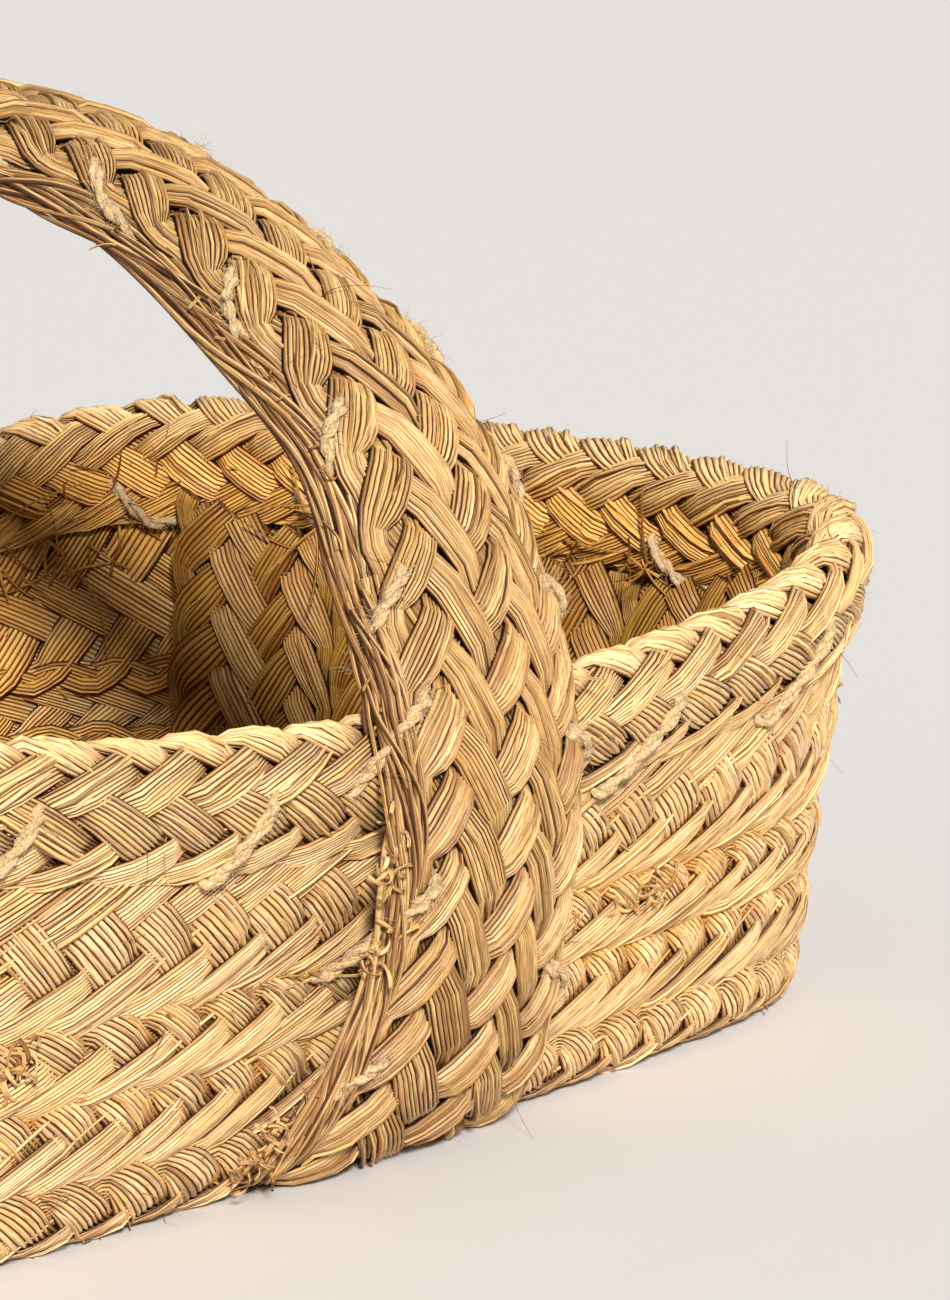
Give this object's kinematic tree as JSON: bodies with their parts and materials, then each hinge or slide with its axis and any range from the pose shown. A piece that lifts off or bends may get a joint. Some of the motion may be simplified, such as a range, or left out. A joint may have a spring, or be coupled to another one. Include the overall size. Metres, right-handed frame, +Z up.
{
  "type": "bread basket",
  "caption": "Oblong bread basket of plaited esparto grass braids sewn edge to edge, with a folded rim braid and a wide fixed arched handle across the middle.",
  "frame": {"origin": "on the floor under the middle of the basket", "axes": "+X along the basket's length, +Y across it in the plane of the handle's arch, +Z up"},
  "size_m": [0.4242, 0.344, 0.243],
  "materials": {
    "esparto_base": "dry plaited plant stems, satin",
    "esparto_wall": "dry plaited plant stems, satin",
    "esparto_rim": "dry plaited plant stems, satin",
    "esparto_handle": "dry plaited plant stems, satin",
    "jute_twine": "matte fuzzy twisted twine"
  },
  "bodies": {
    "root": {"base_braid_edge_near": "esparto_base", "base_braid_1": "esparto_base", "base_braid_2": "esparto_base", "base_braid_3": "esparto_base", "base_braid_4": "esparto_base", "base_braid_edge_far": "esparto_base", "wall_course_4": "esparto_wall", "wall_course_3": "esparto_wall", "wall_course_2": "esparto_wall", "wall_course_1": "esparto_wall", "rim_braid": "esparto_rim", "handle_outer_braid": "esparto_handle", "handle_lining_braid": "esparto_handle", "rim_stitches": "jute_twine", "handle_stitches_left": "jute_twine", "handle_stitches_right": "jute_twine"}
  },
  "joints": []
}
